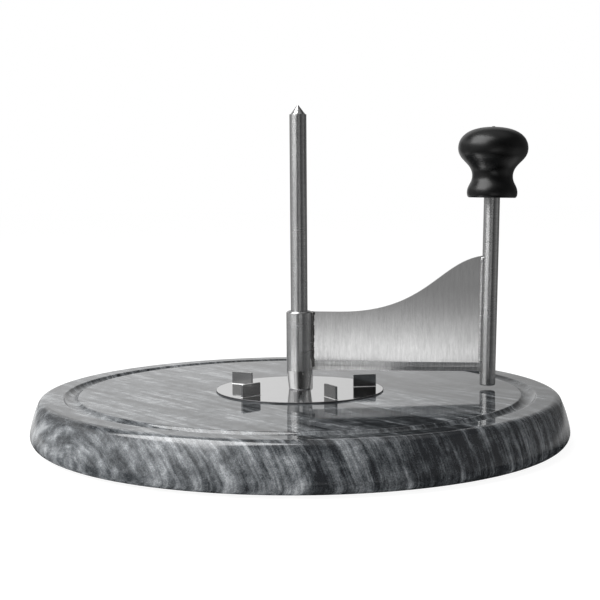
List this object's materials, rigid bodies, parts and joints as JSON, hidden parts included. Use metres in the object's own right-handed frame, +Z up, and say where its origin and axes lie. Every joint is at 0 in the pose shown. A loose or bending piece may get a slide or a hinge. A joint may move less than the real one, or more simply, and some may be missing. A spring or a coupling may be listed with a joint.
{
  "type": "cheese curler",
  "caption": "Round stone base with a toothed plate and pointed spindle, carrying a turning scraper: collar, curved blade, crank rod and loose knob.",
  "frame": {"origin": "on the spindle's axis, at the level that the feet stand on", "axes": "+Z up along the spindle, +X along the scraper's arm at rest, the blade's ground face towards -Y"},
  "size_m": [0.22, 0.22, 0.1364],
  "materials": {
    "stone": "polished grey marble with darker diagonal streaks",
    "polished_plate": "mirror polished stainless steel",
    "tooth_steel": "polished stainless sheet",
    "brushed_rod": "brushed lengthwise",
    "turned_collar": "brushed tube with a polished taper",
    "brushed_blade": "brushed up and down, with a ground edge",
    "plain_steel": "plain bright",
    "weld": "rough weld bead",
    "black_knob": "satin black moulding",
    "liner_plastic": "plain grey moulding",
    "rubber": "matt black"
  },
  "bodies": {
    "base": {"marble_base": "stone", "base_foot_1": "rubber", "base_foot_2": "rubber", "base_foot_3": "rubber", "base_foot_4": "rubber", "tooth_plate": "polished_plate", "tooth_1": "tooth_steel", "tooth_2": "tooth_steel", "tooth_3": "tooth_steel", "tooth_4": "tooth_steel", "tooth_5": "tooth_steel", "spindle": "brushed_rod", "rubber_washer": "rubber", "steel_washer": "plain_steel", "spindle_nut": "plain_steel"},
    "liner": {"collar_liner": "liner_plastic"},
    "scraper": {"scraper_collar": "turned_collar", "scraper_blade": "brushed_blade", "collar_weld": "weld", "crank_rod": "brushed_rod", "rod_weld": "weld", "knob_clip": "plain_steel"},
    "knob": {"crank_knob": "black_knob"}
  },
  "joints": [
    {"name": "scraper_lift", "type": "slide", "parent": "base", "child": "liner", "axis": [0, 0, 1], "range_m": [0, 0.12]},
    {"name": "scraper_spin", "type": "hinge", "parent": "liner", "child": "scraper", "pos_m": [0, 0, 0.0362], "axis": [0, 0, 1], "continuous": true},
    {"name": "knob_spin", "type": "hinge", "parent": "scraper", "child": "knob", "pos_m": [0.07982, 0, 0.11118], "axis": [0.0192, 0, 0.9998], "continuous": true}
  ]
}
